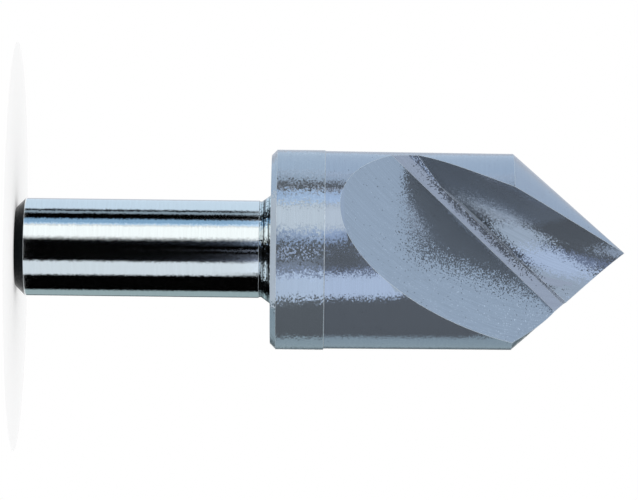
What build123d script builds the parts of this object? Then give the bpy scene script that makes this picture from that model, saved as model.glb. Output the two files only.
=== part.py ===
from build123d import *
from math import cos, radians, sin, tan
import os

# Single-flute countersink bit, ground from one bar of tool steel.
# It stands on the end of its shank: origin at the centre of that end face, +Z along the bit to its point.
# The flute opens towards -Y, and the bit cuts clockwise as seen from the shank.

# Lengths along the bit, mm
overall_length = 62.5
shank_length = 25.0
neck_length = 1.2
collar_length = 5.5

# Diameters and edges, mm
shank_diameter = 10.0
shank_end_chamfer = 1.0
neck_groove_depth = 0.08
neck_groove_width = 0.25
neck_diameter = 11.2
neck_fillet = 0.4
head_diameter = 20.5
collar_back_chamfer = 0.58
collar_front_chamfer = 0.05

# Ground front of the head: a slight taper, turned about an axis shifted towards the cutting edge,
# so that the cone falls away behind the edge and only the edge cuts
front_diameter = 20.3
front_taper = 0.08
point_angle = 82.0
relief_offset = 0.04
edge_direction = -131.0

# Floor of the flute, a flat face: its valley line leans across the head and dives away from the front
valley_back = 12.65
valley_right = 0.86
valley_front = 0.39
valley_slant = 42.9
valley_dive = 8.9
floor_lean = 39.7

# Narrow land in the bottom of the valley, between the floor and the rake face,
# and beyond it a low ridge, the root, which shows only where the rake face runs deep
land_width = 1.15
land_tilt = 39.5
land_wall_lean = 8.0
root_width = 1.5
root_tilt = 9.0

# Rake face: the inside of a round ring that touches the point of the cone
scoop_radius = 8.5
swing_radius = 42.5
scoop_side = -55.6
feed_tilt = 15.0
feed_turn = -104.5
swing_turn = 159.6

# Each cutter reaches this far past the head
cutter_reach = 1.5 * head_diameter


def direction(azimuth, elevation):
    """Unit vector from its angle round Z and its angle above the XY plane."""
    level = cos(radians(elevation))
    return Vector(level * cos(radians(azimuth)), level * sin(radians(azimuth)), sin(radians(elevation)))


def square_to(vector, normal):
    """Unit vector in the plane square to normal, as near to vector as it can be."""
    return (vector - normal * vector.dot(normal)).normalized()


def turned(vector, around, angle):
    """Vector turned about an axis through the origin."""
    return vector.rotate(Axis((0, 0, 0), around), angle)


# The turned blank, as a half profile on its back, away from the flute
shank_radius = shank_diameter / 2
neck_radius = neck_diameter / 2
head_radius = head_diameter / 2
head_back = shank_length + neck_length
ring_line = head_back + collar_length

# The ground front, about its own shifted axis
front_radius = front_diameter / 2
corner_radius = front_radius - front_taper
cone_length = corner_radius / tan(radians(point_angle / 2))
front_axis = Plane.XY.offset(ring_line).location.position + direction(edge_direction, 0) * relief_offset
point = Vector(front_axis.X, front_axis.Y, overall_length)

# The valley plane is square to the valley line: its x runs out along the floor, its y out of the metal
valley = Vector(
    sin(radians(valley_slant)) * cos(radians(valley_dive)),
    sin(radians(valley_dive)),
    cos(radians(valley_slant)) * cos(radians(valley_dive)),
)
valley_point = point + Vector(valley_right, -valley_front, -valley_back)
floor_normal = turned(square_to(Vector(0, -1, 0), valley), valley, -floor_lean)
valley_plane = Plane(origin=valley_point, x_dir=floor_normal.cross(valley) * -1, z_dir=valley * -1)

# The ring that forms the rake face touches the point, and runs back from it along the feed direction
feed = direction(feed_turn, -90 + feed_tilt)
scoop_normal = square_to(direction(scoop_side, 0), feed)
scoop_centre = point + scoop_normal * scoop_radius
to_swing_axis = turned(scoop_normal, feed, swing_turn)
swing_centre = scoop_centre + to_swing_axis * swing_radius

with BuildPart() as rake_cutter:
    with BuildSketch(Plane(origin=swing_centre, x_dir=to_swing_axis, z_dir=feed)):
        with Locations((swing_radius, 0)):
            Circle(scoop_radius)
    revolve(axis=Axis(swing_centre, feed.cross(to_swing_axis)))
    with BuildSketch(valley_plane):
        with BuildLine():
            floor_line = Line((0, 0), (cutter_reach, 0))
            land_line = PolarLine((0, 0), land_width, 180 - land_tilt)
            root_line = PolarLine(land_line @ 1, root_width, 180 - land_tilt - root_tilt)
            root_back = PolarLine(root_line @ 1, root_width, 180 - land_tilt + root_tilt)
            deep_line = PolarLine(root_back @ 1, cutter_reach, 180 - land_tilt)
            outer_side = Line(floor_line @ 1, (cutter_reach, cutter_reach))
            Polyline(outer_side @ 1, ((deep_line @ 1).X, cutter_reach), deep_line @ 1)
        make_face()
    extrude(amount=cutter_reach, both=True, mode=Mode.INTERSECT)

with BuildPart() as floor_cutter:
    with BuildSketch(valley_plane):
        with BuildLine():
            floor_line = Line((0, 0), (cutter_reach, 0))
            land_line = PolarLine((0, 0), land_width, 180 - land_tilt)
            land_wall = PolarLine(land_line @ 1, cutter_reach, 90 - land_wall_lean)
            Polyline(land_wall @ 1, (cutter_reach, (land_wall @ 1).Y), floor_line @ 1)
        make_face()
    extrude(amount=cutter_reach, both=True)

with BuildPart() as countersink_bit:
    with BuildSketch(Plane.YZ):
        with BuildLine():
            Polyline(
                (0, 0),
                (shank_radius, 0),
                (shank_radius, shank_length),
                (shank_radius - neck_groove_depth, shank_length),
                (shank_radius - neck_groove_depth, shank_length + neck_groove_width),
                (neck_radius, head_back),
                (head_radius, head_back),
                (head_radius, ring_line),
                (0, ring_line),
                close=True,
            )
        make_face()
    revolve(axis=Axis.Z)
    rims = countersink_bit.edges().filter_by(GeomType.CIRCLE)
    back_rims = rims.filter_by_position(Axis.Z, head_back, head_back).sort_by(SortBy.RADIUS)
    chamfer(rims.group_by(Axis.Z)[0], shank_end_chamfer)
    chamfer(rims.group_by(Axis.Z)[-1], collar_front_chamfer)
    chamfer(back_rims[-1], collar_back_chamfer)
    fillet(back_rims[0], neck_fillet)
    with BuildSketch(Plane(origin=front_axis, x_dir=(0, 1, 0), z_dir=(1, 0, 0))):
        with BuildLine():
            Polyline(
                (0, 0),
                (front_radius, 0),
                (corner_radius, point.Z - cone_length - front_axis.Z),
                (0, point.Z - front_axis.Z),
                close=True,
            )
        make_face()
    revolve(axis=Axis(front_axis, (0, 0, 1)))
    add(floor_cutter.part, mode=Mode.SUBTRACT)
    add(rake_cutter.part, mode=Mode.SUBTRACT)

countersink_bit.part.label = "countersink_bit"
print("solids", len(countersink_bit.part.solids()), "volume", countersink_bit.part.volume)

os.makedirs("parts", exist_ok=True)
export_step(countersink_bit.part, "parts/countersink_bit.step")
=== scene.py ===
import bpy
from math import cos, pi, radians, sin
from mathutils import Matrix, Vector

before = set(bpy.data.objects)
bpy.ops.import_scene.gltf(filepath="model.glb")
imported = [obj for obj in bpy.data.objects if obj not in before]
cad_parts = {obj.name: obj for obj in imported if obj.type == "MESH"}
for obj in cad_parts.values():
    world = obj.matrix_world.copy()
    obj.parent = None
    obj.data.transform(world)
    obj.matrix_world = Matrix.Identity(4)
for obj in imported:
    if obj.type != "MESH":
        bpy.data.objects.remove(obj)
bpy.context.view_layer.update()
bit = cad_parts["countersink_bit"]
print("frame loaded:", len(bit.data.polygons), "faces on the bit")

mm = 0.001  # the frame is in metres


# an sRGB hex colour as the linear one that shaders take
def toLinear(hexColour):
    channels = [int(hexColour[i:i + 2], 16) / 255 for i in (1, 3, 5)]
    linear = [c / 12.92 if c <= 0.04045 else ((c + 0.055) / 1.055) ** 2.4 for c in channels]
    return (*linear, 1.0)


# an input that is given a socket is linked to it, and any other is set to its value
def addNode(tree, kind, inputs=None, **settings):
    made = tree.nodes.new(kind)
    for name, value in settings.items():
        setattr(made, name, value)
    for name, value in (inputs or {}).items():
        if isinstance(value, bpy.types.NodeSocket):
            tree.links.new(value, made.inputs[name])
        else:
            made.inputs[name].default_value = value
    return made


def newMaterial(name):
    material = bpy.data.materials.new(name)
    material.use_nodes = True
    material.node_tree.nodes.clear()
    return material, material.node_tree


# The flat faces of the flute, from the angles in degrees that they are ground at, and a point in
# mm on the line of the valley.
flute = {"valleySlant": 42.9, "valleyDive": 8.9, "floorLean": 39.7, "landTilt": 39.5, "wallLean": 8.0,
         "valleyPoint": (0.834, -0.42, 49.85)}
valleySlant = radians(flute["valleySlant"])
valleyDive = radians(flute["valleyDive"])
valley = Vector((sin(valleySlant) * cos(valleyDive), sin(valleyDive), cos(valleySlant) * cos(valleyDive)))
front = Vector((0, -1, 0))
outOfValley = front - valley * front.dot(valley)
floorNormal = Matrix.Rotation(radians(-flute["floorLean"]), 3, valley) @ outOfValley.normalized()
landNormal = Matrix.Rotation(radians(flute["landTilt"]), 3, valley) @ floorNormal
stepNormal = Matrix.Rotation(radians(90 + flute["wallLean"]), 3, valley) @ floorNormal
acrossLand = landNormal.cross(valley)
valleyPoint = Vector(flute["valleyPoint"]) * mm
print("flute floor", [round(c, 4) for c in floorNormal], "land", [round(c, 4) for c in landNormal])


# marks that run round the bit, as the lathe and the cylindrical grinder leave them
def marksRoundTheBit(tree, place, finish):
    spread = (1 / finish["markLength"], 1 / finish["markLength"], 1 / finish["markWidth"])
    return addNode(tree, "ShaderNodeVectorMath", {0: place, 1: tuple(s / mm for s in spread)},
                   operation="MULTIPLY")


# marks in arcs, as a grinding wheel leaves them: the wheel turned about an axis along Y
def marksOfTheWheel(tree, place, finish):
    wheelX, wheelZ = finish["wheelCentre"]
    fromWheel = addNode(tree, "ShaderNodeVectorMath", {0: place, 1: (wheelX * mm, 0, wheelZ * mm)},
                        operation="SUBTRACT")
    sideways = addNode(tree, "ShaderNodeVectorMath", {0: fromWheel.outputs[0], 1: (1, 0, 1)},
                       operation="MULTIPLY")
    reach = addNode(tree, "ShaderNodeVectorMath", {0: sideways.outputs[0]}, operation="LENGTH")
    across = addNode(tree, "ShaderNodeMath", {0: reach.outputs["Value"], 1: 1 / (finish["markWidth"] * mm)},
                     operation="MULTIPLY")
    ring = addNode(tree, "ShaderNodeCombineXYZ", {"X": across.outputs[0]})
    along = addNode(tree, "ShaderNodeVectorMath", {0: place, "Scale": 1 / (finish["markLength"] * mm)},
                    operation="SCALE")
    return addNode(tree, "ShaderNodeVectorMath", {0: ring.outputs[0], 1: along.outputs[0]}, operation="ADD")


# The share of dark grains beside the bottom of the valley, painted shade: it grows across the land, and opens
# and closes again along the valley. Each pair is in mm from the valley point: where there are none,
# and where there is the full share.
def shadeSpeckShare(tree, place, shadeSpecks):
    offset = addNode(tree, "ShaderNodeVectorMath", {0: place, 1: valleyPoint}, operation="SUBTRACT")
    offset = offset.outputs[0]
    across = addNode(tree, "ShaderNodeVectorMath", {0: offset, 1: acrossLand / mm}, operation="DOT_PRODUCT")
    along = addNode(tree, "ShaderNodeVectorMath", {0: offset, 1: valley / mm}, operation="DOT_PRODUCT")
    share = shadeSpecks["share"]
    for value, (none, full) in ((across, shadeSpecks["across"]), (along, shadeSpecks["opens"]), (along, shadeSpecks["closes"])):
        share = addNode(tree, "ShaderNodeMapRange", {"Value": value.outputs["Value"], "From Min": none,
                                                     "From Max": full, "To Max": share},
                        interpolation_type="SMOOTHSTEP").outputs[0]
    return share


# The part of the noise that the marks use, from their dark to their light side.
cut = {"dark": 0.3, "light": 0.7, "detail": 2.0}
# Edges are painted pale and dull, as a painted highlight that the room light shows along them. They are found
# where the rounded surface turns away from the true one, from the distance between the two normals.
paintedEdgeHighlight = {"colour": "#d3dbe2", "metallic": 0.3, "roughness": 0.4, "starts": 0.06, "full": 0.3, "samples": 8}


# Steel as a grinder leaves it. Each grain is a tiny flat with its own tilt, so the edge of a
# reflection breaks into specks; fine marks change the tone along the cut, and where they swing far, as round
# the neck, their dark and bright are painted reflections and glints; some grains are dark at random, and
# beside the valley dark grains are painted shade; edges are painted pale as a highlight.
def groundSteel(name, finish):
    material, tree = newMaterial(name)
    place = addNode(tree, "ShaderNodeTexCoord").outputs["Object"]
    surface = addNode(tree, "ShaderNodeNewGeometry").outputs["Normal"]

    grains = addNode(tree, "ShaderNodeTexVoronoi", {"Vector": place, "Scale": 1 / (finish["grain"] * mm)})
    lean = addNode(tree, "ShaderNodeVectorMath", {0: grains.outputs["Color"], 1: (0.5, 0.5, 0.5)},
                   operation="SUBTRACT")
    most = 2 * sin(radians(finish["tilt"]))
    mostTilt = (most, most, most * finish["tiltAlong"])
    tilt = addNode(tree, "ShaderNodeVectorMath", {0: lean.outputs[0], 1: mostTilt}, operation="MULTIPLY")
    slope = addNode(tree, "ShaderNodeVectorMath", {0: surface, 1: (1, 1, finish["slopeKept"])},
                    operation="MULTIPLY")
    tipped = addNode(tree, "ShaderNodeVectorMath", {0: slope.outputs[0], 1: tilt.outputs[0]}, operation="ADD")
    flat = addNode(tree, "ShaderNodeVectorMath", {0: tipped.outputs[0]}, operation="NORMALIZE")

    marks = (marksOfTheWheel if "wheelCentre" in finish else marksRoundTheBit)(tree, place, finish)
    noise = addNode(tree, "ShaderNodeTexNoise", {"Vector": marks.outputs[0], "Scale": 1.0,
                                                 "Detail": cut["detail"]})
    tone = addNode(tree, "ShaderNodeMapRange", {"Value": noise.outputs["Fac"],
                                                "From Min": cut["dark"], "From Max": cut["light"],
                                                "To Min": 1 - finish["markAndGlintDepth"],
                                                "To Max": 1 + finish["markAndGlintDepth"]})
    tone = addNode(tree, "ShaderNodeMath", {0: tone.outputs[0], 1: 0.0}, operation="MAXIMUM")
    chance = addNode(tree, "ShaderNodeSeparateColor", {"Color": grains.outputs["Color"]})
    # Dark grains: at random where a finish has pits, and painted shade beside the valley where it has shade
    # specks.
    share = shadeSpeckShare(tree, place, finish["shadeSpecks"]) if "shadeSpecks" in finish else finish["pits"]
    chance = addNode(tree, "ShaderNodeMath", {0: chance.outputs[0], 1: share}, operation="ADD")
    isPitOrShadeSpeck = addNode(tree, "ShaderNodeMath", {0: chance.outputs[0], 1: 1.0}, operation="GREATER_THAN")
    pitAndShadeTone = addNode(tree, "ShaderNodeMapRange", {"Value": isPitOrShadeSpeck.outputs[0], "To Min": 1.0,
                                                   "To Max": finish["pitAndShadeTone"]})
    shade = addNode(tree, "ShaderNodeMath", {0: tone.outputs[0], 1: pitAndShadeTone.outputs[0]}, operation="MULTIPLY")
    plain = toLinear(finish["colour"])[:3]
    marked = addNode(tree, "ShaderNodeVectorMath", {0: plain, "Scale": shade.outputs[0]}, operation="SCALE")

    # Painted highlight: edges are turned pale and dull, so the room light draws them as light lines.
    rounded = addNode(tree, "ShaderNodeBevel", {"Radius": finish["edgeWidth"] * mm},
                      samples=paintedEdgeHighlight["samples"])
    turn = addNode(tree, "ShaderNodeVectorMath", {0: rounded.outputs[0], 1: surface}, operation="DISTANCE")
    edgeHighlight = addNode(tree, "ShaderNodeMapRange", {"Value": turn.outputs["Value"],
                                                "From Min": paintedEdgeHighlight["starts"], "From Max": paintedEdgeHighlight["full"],
                                                "To Min": 0.0, "To Max": finish["edgeHighlightShare"]}).outputs[0]
    colour = addNode(tree, "ShaderNodeMix", {0: edgeHighlight, 6: marked.outputs[0], 7: toLinear(paintedEdgeHighlight["colour"])},
                     data_type="RGBA")
    metallic = addNode(tree, "ShaderNodeMapRange", {"Value": edgeHighlight, "To Min": finish["metallic"],
                                                    "To Max": paintedEdgeHighlight["metallic"]})
    roughness = addNode(tree, "ShaderNodeMapRange", {"Value": edgeHighlight, "To Min": finish["roughness"],
                                                     "To Max": paintedEdgeHighlight["roughness"]})
    shader = addNode(tree, "ShaderNodeBsdfPrincipled", {"Base Color": colour.outputs[2],
                                                         "Metallic": metallic.outputs[0],
                                                         "Roughness": roughness.outputs[0],
                                                         "Normal": flat.outputs[0]})
    addNode(tree, "ShaderNodeOutputMaterial", {"Surface": shader.outputs["BSDF"]})
    return material


# What the finishes start from. Lengths are in mm and tilts in degrees, and the rest are shares.
# Grit leaves grains and scratches of about 0.02 mm, which is finer than a pixel here, so both are
# drawn five to ten times as coarse, to show.
plainFinish = {
    "tiltAlong": 1.0,  # how much of a grain's tilt leans along the bit
    "slopeKept": 1.0,  # how much of the surface's own slope along the bit the light sees
    "pits": 0.0,  # how many grains are dark
    "pitAndShadeTone": 0.45,  # how bright the dark grains are
    "markWidth": 0.14, "markLength": 3.0, "edgeWidth": 0.07, "edgeHighlightShare": 0.8,
}
# Tool steel, cylindrically ground bright: a mirror, with straight bands of light from end to end.
shankFinish = plainFinish | {
    "colour": "#e5ebed", "metallic": 1.0, "roughness": 0.05, "grain": 0.14, "tilt": 0.9, "tiltAlong": 0.05,
    "markWidth": 0.12, "markAndGlintDepth": 0.02,
}
# Left as it was turned: marks run round it in rings, whose colour is painted dark and bright as painted
# reflections and glints, in thin black and white lines.
neckFinish = plainFinish | {
    "colour": "#b4bfc3", "metallic": 1.0, "roughness": 0.1, "grain": 0.14, "tilt": 4.0, "slopeKept": 0.1,
    "pits": 0.15, "markWidth": 0.2, "markLength": 30.0, "markAndGlintDepth": 1.6, "edgeWidth": 0.05, "edgeHighlightShare": 0.1,
}
# Close to black, a painted dark reflection in place of the dark that the end mirrors, with a faint sheen.
endFinish = plainFinish | {
    "colour": "#0e1417", "metallic": 1.0, "roughness": 0.2, "grain": 0.14, "tilt": 3.0,
    "markWidth": 0.1, "markAndGlintDepth": 0.2, "edgeWidth": 0.05, "edgeHighlightShare": 0.3,
}
# Ground to a coarse satin: blue-grey, with wide bands whose edges break into large specks.
collarFinish = plainFinish | {
    "colour": "#adbac8", "metallic": 0.76, "roughness": 0.055, "grain": 0.15, "tilt": 3.4, "tiltAlong": 0.0,
    "markWidth": 0.12, "markLength": 4.0, "markAndGlintDepth": 0.03,
}
# Ground to a finer satin than the collar: the same blue-grey, with smoother bands.
headFinish = plainFinish | {
    "colour": "#a8b5c6", "metallic": 0.753, "roughness": 0.06, "grain": 0.11, "tilt": 2.4, "tiltAlong": 0.08,
    "pits": 0.002, "markWidth": 0.12, "markLength": 4.0, "markAndGlintDepth": 0.03,
}
# The face of the wheel cuts the floor: even grey with arcs across it, and a wide speckled border.
floorFinish = plainFinish | {
    "colour": "#a6b3c2", "metallic": 0.753, "roughness": 0.05, "grain": 0.1, "tilt": 4.2, "pits": 0.004,
    "markAndGlintDepth": 0.05, "wheelCentre": (-26.3, 59.5),
}
# The corner of the wheel cuts the land: a smooth pale stripe, with dark grains painted along its far side as
# shade.
landFinish = plainFinish | {
    "colour": "#a9b3c6", "metallic": 0.753, "roughness": 0.05, "grain": 0.1, "tilt": 1.5, "pitAndShadeTone": 0.25,
    "markAndGlintDepth": 0.05, "wheelCentre": (-26.3, 59.5),
    "shadeSpecks": {"share": 0.8, "across": (0.15, 0.95), "opens": (-14, -8), "closes": (5, -1)},
}
# A round wheel hollows the rake face: one bright streak down its length between dark sides, and by the valley
# dark grains are painted on as shade.
rakeFinish = plainFinish | {
    "colour": "#a8b5c6", "metallic": 0.753, "roughness": 0.05, "grain": 0.1, "tilt": 2.8, "pitAndShadeTone": 0.2,
    "markAndGlintDepth": 0.06, "wheelCentre": (-35.5, 68.8),
    "shadeSpecks": {"share": 0.75, "across": (2.4, 1.4), "opens": (-7, -3), "closes": (4, 0)},
}
# The side of the wheel cuts the low step beyond the land: a dull, pale line, a painted highlight, with dark
# grains painted on it as shade.
stepFinish = plainFinish | {
    "colour": "#bccade", "metallic": 0.35, "roughness": 0.3, "grain": 0.12, "tilt": 3.0, "pitAndShadeTone": 0.4,
    "markAndGlintDepth": 0.03, "edgeWidth": 0.05, "wheelCentre": (-35.5, 68.8),
    "shadeSpecks": {"share": 0.5, "across": (-1, 0), "opens": (-5, -2), "closes": (8, 2)},
}

zones = {
    "groundShankSteel": shankFinish,
    "turnedNeckSteel": neckFinish,
    "paintedDarkEndSteel": endFinish,
    "satinCollarSteel": collarFinish,
    "satinHeadSteel": headFinish,
    "groundFluteSteel": floorFinish,
    "groundLandSteel": landFinish,
    "groundRakeSteel": rakeFinish,
    "paleStepHighlightSteel": stepFinish,
}
# How far up the bit, in mm, each of the lower finishes reaches.
zoneTops = {"paintedDarkEndSteel": 1.0, "groundShankSteel": 24.99, "turnedNeckSteel": 26.17,
            "satinCollarSteel": 31.7}
# How the faces of the head are told apart. Lengths are in mm; the rest are parts of a normal.
faceSigns = {
    "coneRise": 0.656, "riseLeeway": 0.03, "coneFacing": 0.7, "sideFacing": 0.8,
    "sideReach": 10.0, "sideCentre": 9.95, "sameWay": 0.999, "stepLeeway": 0.05,
}
stepFaces = [face for face in bit.data.polygons if face.normal.dot(stepNormal) > faceSigns["sameWay"]]
stepLevel = max(stepFaces, key=lambda face: face.area).center.dot(stepNormal)


def zoneOf(face):
    height = face.center.z / mm
    for name, top in zoneTops.items():
        if height < top:
            return name
    outward = Vector((face.center.x, face.center.y, 0))
    facing = face.normal.dot(outward.normalized())
    reach = min(Vector(bit.data.vertices[i].co[:2]).length for i in face.vertices)
    offCone = abs(face.normal.z - faceSigns["coneRise"])
    onCone = offCone < faceSigns["riseLeeway"] and facing > faceSigns["coneFacing"]
    level = abs(face.normal.z) < faceSigns["riseLeeway"] and facing > faceSigns["sideFacing"]
    farOut = outward.length > faceSigns["sideCentre"] * mm
    onSide = reach > faceSigns["sideReach"] * mm and (farOut or level)
    if onCone or onSide:
        return "satinHeadSteel"
    if face.normal.dot(floorNormal) > faceSigns["sameWay"]:
        return "groundFluteSteel"
    if face.normal.dot(landNormal) > faceSigns["sameWay"]:
        return "groundLandSteel"
    fromStep = abs(face.center.dot(stepNormal) - stepLevel)
    if face.normal.dot(stepNormal) > faceSigns["sameWay"] and fromStep < faceSigns["stepLeeway"] * mm:
        return "paleStepHighlightSteel"
    return "groundRakeSteel"


bit.data.materials.clear()
for name, finish in zones.items():
    bit.data.materials.append(groundSteel(name, finish))
for face in bit.data.polygons:
    face.material_index = list(zones).index(zoneOf(face))
print("steel finishes laid on", len(zones), "zones")

# Matt paper under the bit, pale and without a shine. It is small, so that the shank mirrors the
# studio and not the sheet. "lift" is a glow that is seen but lights nothing, to keep it near white.
sheet = {"radius": 21.0, "sides": 96, "colour": "#eeeeee", "lift": 0.25}
turns = [2 * pi * i / sheet["sides"] for i in range(sheet["sides"])]
sheetMesh = bpy.data.meshes.new("pale_sheet")
rim = [(sheet["radius"] * mm * cos(t), sheet["radius"] * mm * sin(t), 0) for t in turns]
sheetMesh.from_pydata(rim, [], [tuple(range(sheet["sides"]))])
paleSheet = bpy.data.objects.new("pale_sheet", sheetMesh)
bpy.context.scene.collection.objects.link(paleSheet)
sheetMaterial, tree = newMaterial("mattPaper")
paint = addNode(tree, "ShaderNodeBsdfDiffuse", {"Color": toLinear(sheet["colour"])})
path = addNode(tree, "ShaderNodeLightPath")
seen = addNode(tree, "ShaderNodeMath", {0: path.outputs["Is Camera Ray"], 1: path.outputs["Is Glossy Ray"]},
               operation="MAXIMUM")
seen = addNode(tree, "ShaderNodeMath", {0: seen.outputs[0], 1: path.outputs["Is Transmission Ray"]},
               operation="MAXIMUM")
glow = addNode(tree, "ShaderNodeMath", {0: seen.outputs[0], 1: sheet["lift"]}, operation="MULTIPLY")
lift = addNode(tree, "ShaderNodeEmission", {"Strength": glow.outputs[0]})
lifted = addNode(tree, "ShaderNodeAddShader", {0: paint.outputs[0], 1: lift.outputs[0]})
addNode(tree, "ShaderNodeOutputMaterial", {"Surface": lifted.outputs[0]})
sheetMesh.materials.append(sheetMaterial)
print("sheet laid")

# The studio, as soft panels round the bit, whose light adds up where they overlap. "around" is the
# direction round the bit, in degrees: 0 is in front, 90 towards -X, -90 towards +X. "up" is the angle
# above the level. Each holds the panel's two edges and how soft they are. From the camera, the shank
# mirrors what is below -0.69 degrees, the collar from -0.5 to 0.07, and the head what is higher.
panels = {
    "key": {"colour": "#fdfffe", "level": 1.16, "around": (22, 56, 7), "up": (-90, 22, 8)},
    "blueFlank": {"colour": "#acd8ff", "level": 0.64, "around": (56, 71.5, 3), "up": (-90, 22, 8)},
    "greySide": {"colour": "#d7edff", "level": 0.42, "around": (88.5, 96, 2.5), "up": (-90, 22, 8)},
    "side": {"colour": "#deefff", "level": 0.93, "around": (103, 156, 4), "up": (-90, 22, 8)},
    "high": {"colour": "#e2f0ff", "level": 0.86, "around": (40, 156, 8), "up": (22, 99, 8)},
    "back": {"colour": "#eef4ff", "level": 0.72, "around": (156, 190, 6), "up": (-99, 99, 8)},
    "rear": {"colour": "#ffffff", "level": 1.0, "around": (-190, -174, 4), "up": (-99, 99, 8)},
    "dimRear": {"colour": "#dcfaff", "level": 0.14, "around": (-174, -158, 4), "up": (-99, 99, 8)},
    "lowBack": {"colour": "#e1faff", "level": 0.46, "around": (-158, -122, 5), "up": (-99, 99, 8)},
    "keyFoot": {"colour": "#cbdfff", "level": 0.88, "around": (9, 22, 5), "up": (-0.62, 22, 0.08)},
    "flankFill": {"colour": "#f6f7ff", "level": 0.56, "around": (57, 76, 3), "up": (-0.62, 22, 0.08)},
    "sideFill": {"colour": "#e8f2ff", "level": 0.42, "around": (84, 103, 2), "up": (-0.62, 22, 0.08)},
    "gapFill": {"colour": "#e8f2ff", "level": 0.42, "around": (96, 104, 3), "up": (-0.62, 22, 0.08)},
    "collarFill": {"colour": "#dbe6ff", "level": 0.5, "around": (-32, -12, 2), "up": (-0.62, 0, 0.06)},
    "collarGlint": {"colour": "#dbe6ff", "level": 1.5, "around": (-6.5, -1.5, 0.3),
                    "up": (-0.48, 0.02, 0.04)},
    "lowFill": {"colour": "#c3d3ff", "level": 0.34, "around": (-58, -23, 4), "up": (-0.62, 22, 0.08)},
    "nearPoint": {"colour": "#e8f2ff", "level": 0.62, "around": (-84, -67, 3), "up": (12, 35, 3)},
    "overhead": {"colour": "#ffffff", "level": 0.8, "around": (-190, 190, 4), "up": (62, 99, 4)},
}
# The lower side of the low panel is slanted: "slant" holds a height and how far round it has moved
# there. "shift" moves that side, and "steps" set the upper side back: each holds the heights where
# it begins and is whole, and how far it goes. "dim" holds two directions and how much is lost there.
lowPanel = {
    "colour": "#f0f8ff", "level": 0.87, "around": (-66, -33, 3.5), "up": (-17.5, 39, 3), "slant": (30, 24),
    "shift": (-0.78, -0.66, 8), "steps": ((-0.78, -0.66, 4.5), (4, 10, 22), (16, 19, 28)),
    "dim": (-36, -20, 0.1),
}
# What is seen by two reflections, inside the flute, comes from one small panel and from a share of
# the others, so that its deep sides stay dark.
innerPanel = {"colour": "#fff7ee", "level": 1.5, "around": (-50, -33, 3), "up": (-8, 11, 2), "rest": 0.15}
twoReflections = 2.5  # a ray of this depth or more has met the steel twice
pastAllRound = 300  # further round than any direction
roomLevel = 0.9  # the even light that matt surfaces get

world = bpy.data.worlds.new("studio")
bpy.context.scene.world = world
world.use_nodes = True
tree = world.node_tree
tree.nodes.clear()
direction = addNode(tree, "ShaderNodeTexCoord")
axes = addNode(tree, "ShaderNodeSeparateXYZ", {"Vector": direction.outputs["Generated"]})
towardsX = addNode(tree, "ShaderNodeMath", {0: axes.outputs["X"], 1: -1.0}, operation="MULTIPLY")
towardsY = addNode(tree, "ShaderNodeMath", {0: axes.outputs["Y"], 1: -1.0}, operation="MULTIPLY")
turnAngle = addNode(tree, "ShaderNodeMath", {0: towardsX.outputs[0], 1: towardsY.outputs[0]},
                    operation="ARCTAN2")
riseAngle = addNode(tree, "ShaderNodeMath", {0: axes.outputs["Z"]}, operation="ARCSINE")
around = addNode(tree, "ShaderNodeMath", {0: turnAngle.outputs[0]}, operation="DEGREES").outputs[0]
up = addNode(tree, "ShaderNodeMath", {0: riseAngle.outputs[0]}, operation="DEGREES").outputs[0]
path = addNode(tree, "ShaderNodeLightPath")
inside = addNode(tree, "ShaderNodeMath", {0: path.outputs["Ray Depth"], 1: twoReflections},
                 operation="GREATER_THAN").outputs[0]


# a level that opens at the low edge and closes at the high one, each softly
def between(value, low, high, soft, level=1.0):
    opened = addNode(tree, "ShaderNodeMapRange", {"Value": value, "From Min": low - soft,
                                                  "From Max": low + soft, "To Max": level},
                     interpolation_type="SMOOTHSTEP")
    closed = addNode(tree, "ShaderNodeMapRange", {"Value": value, "From Min": high - soft,
                                                  "From Max": high + soft,
                                                  "To Min": opened.outputs[0], "To Max": 0.0},
                     interpolation_type="SMOOTHSTEP")
    return closed.outputs[0]


def panelLight(panel, share):
    glow = [c * panel["level"] for c in toLinear(panel["colour"])[:3]]
    return addNode(tree, "ShaderNodeBackground", {"Color": (*glow, 1), "Strength": share}).outputs[0]


outside = addNode(tree, "ShaderNodeMapRange", {"Value": inside, "To Min": 1.0,
                                               "To Max": innerPanel["rest"]}).outputs[0]
lights = []
for panel in panels.values():
    sideways = between(around, *panel["around"], level=outside)
    lights.append(panelLight(panel, between(up, *panel["up"], level=sideways)))

low, high, soft = lowPanel["around"]
height, moved = lowPanel["slant"]
slant = addNode(tree, "ShaderNodeMapRange", {"Value": up, "From Min": -height, "From Max": height,
                                             "To Min": -moved, "To Max": moved})
start, end, setBack = lowPanel["shift"]
shift = addNode(tree, "ShaderNodeMapRange", {"Value": up, "From Min": start, "From Max": end,
                                             "To Max": setBack})
slanted = addNode(tree, "ShaderNodeMath", {0: around, 1: slant.outputs[0]}, operation="SUBTRACT")
slanted = addNode(tree, "ShaderNodeMath", {0: slanted.outputs[0], 1: shift.outputs[0]},
                  operation="SUBTRACT").outputs[0]
stepped = around
for start, end, setBack in lowPanel["steps"]:
    step = addNode(tree, "ShaderNodeMapRange", {"Value": up, "From Min": start, "From Max": end,
                                                "To Max": setBack}, interpolation_type="SMOOTHSTEP")
    stepped = addNode(tree, "ShaderNodeMath", {0: stepped, 1: step.outputs[0]},
                      operation="SUBTRACT").outputs[0]
direct = addNode(tree, "ShaderNodeMath", {0: 1.0, 1: inside}, operation="SUBTRACT").outputs[0]
lowSide = between(slanted, low, pastAllRound, soft, level=between(up, *lowPanel["up"], level=direct))
start, end, dimming = lowPanel["dim"]
faded = addNode(tree, "ShaderNodeMapRange", {"Value": around, "From Min": start, "From Max": end,
                                             "To Min": lowSide, "To Max": 0.0},
                interpolation_type="SMOOTHSTEP")
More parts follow.
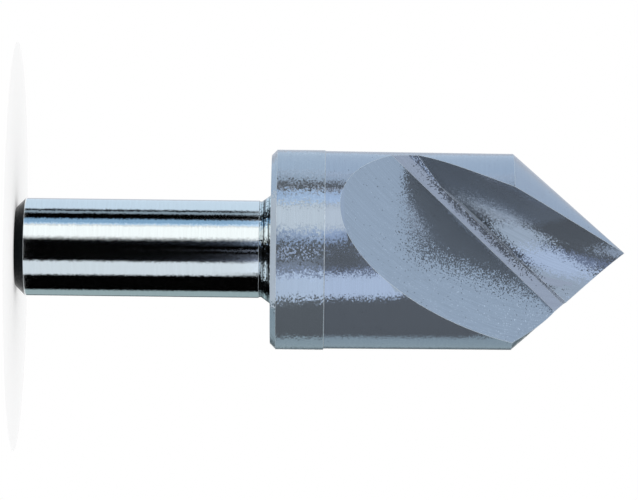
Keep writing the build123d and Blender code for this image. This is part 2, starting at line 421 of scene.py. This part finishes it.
dimmed = addNode(tree, "ShaderNodeMix", {0: dimming, 2: lowSide, 3: faded.outputs[0]}).outputs[0]
lights.append(panelLight(lowPanel, between(stepped, -pastAllRound, high, soft, level=dimmed)))

sideways = between(around, *innerPanel["around"], level=inside)
lights.append(panelLight(innerPanel, between(up, *innerPanel["up"], level=sideways)))

studio = lights[0]
for light in lights[1:]:
    studio = addNode(tree, "ShaderNodeAddShader", {0: studio, 1: light}).outputs[0]
room = addNode(tree, "ShaderNodeBackground", {"Color": (roomLevel, roomLevel, roomLevel, 1)})
white = addNode(tree, "ShaderNodeBackground", {"Color": (1, 1, 1, 1)})
lit = addNode(tree, "ShaderNodeMixShader", {0: path.outputs["Is Glossy Ray"], 1: room.outputs[0], 2: studio})
seen = addNode(tree, "ShaderNodeMath", {0: path.outputs["Is Camera Ray"],
                                        1: path.outputs["Is Transmission Ray"]}, operation="MAXIMUM")
sky = addNode(tree, "ShaderNodeMixShader", {0: seen.outputs[0], 1: lit.outputs[0], 2: white.outputs[0]})
addNode(tree, "ShaderNodeOutputWorld", {"Surface": sky.outputs[0]})
print("studio lit by", len(lights), "panels")

# The camera sees the bit lying on its side with its point to the right, leaning a little. Lengths are
# in mm and the lean in degrees.
view = {"lens": 280.2, "sensor": 36.0, "distance": 510.0, "height": 31.134, "lean": 0.668, "clipStart": 10.0}
lean = radians(view["lean"])
along, away = Vector((0, 0, 1)), Vector((-1, 0, 0))
right = along * cos(lean) + away * sin(lean)
upward = away * cos(lean) - along * sin(lean)
backward = right.cross(upward)
cameraData = bpy.data.cameras.new("camera")
cameraData.lens = view["lens"]
cameraData.sensor_width = view["sensor"]
cameraData.clip_start = view["clipStart"] * mm
camera = bpy.data.objects.new("camera", cameraData)
spot = Vector((0, 0, view["height"] * mm)) + backward * view["distance"] * mm
camera.matrix_world = Matrix.Translation(spot) @ Matrix((right, upward, backward)).transposed().to_4x4()
bpy.context.scene.collection.objects.link(camera)
bpy.context.scene.camera = camera
bpy.context.scene.view_settings.view_transform = "Standard"
print("camera placed")
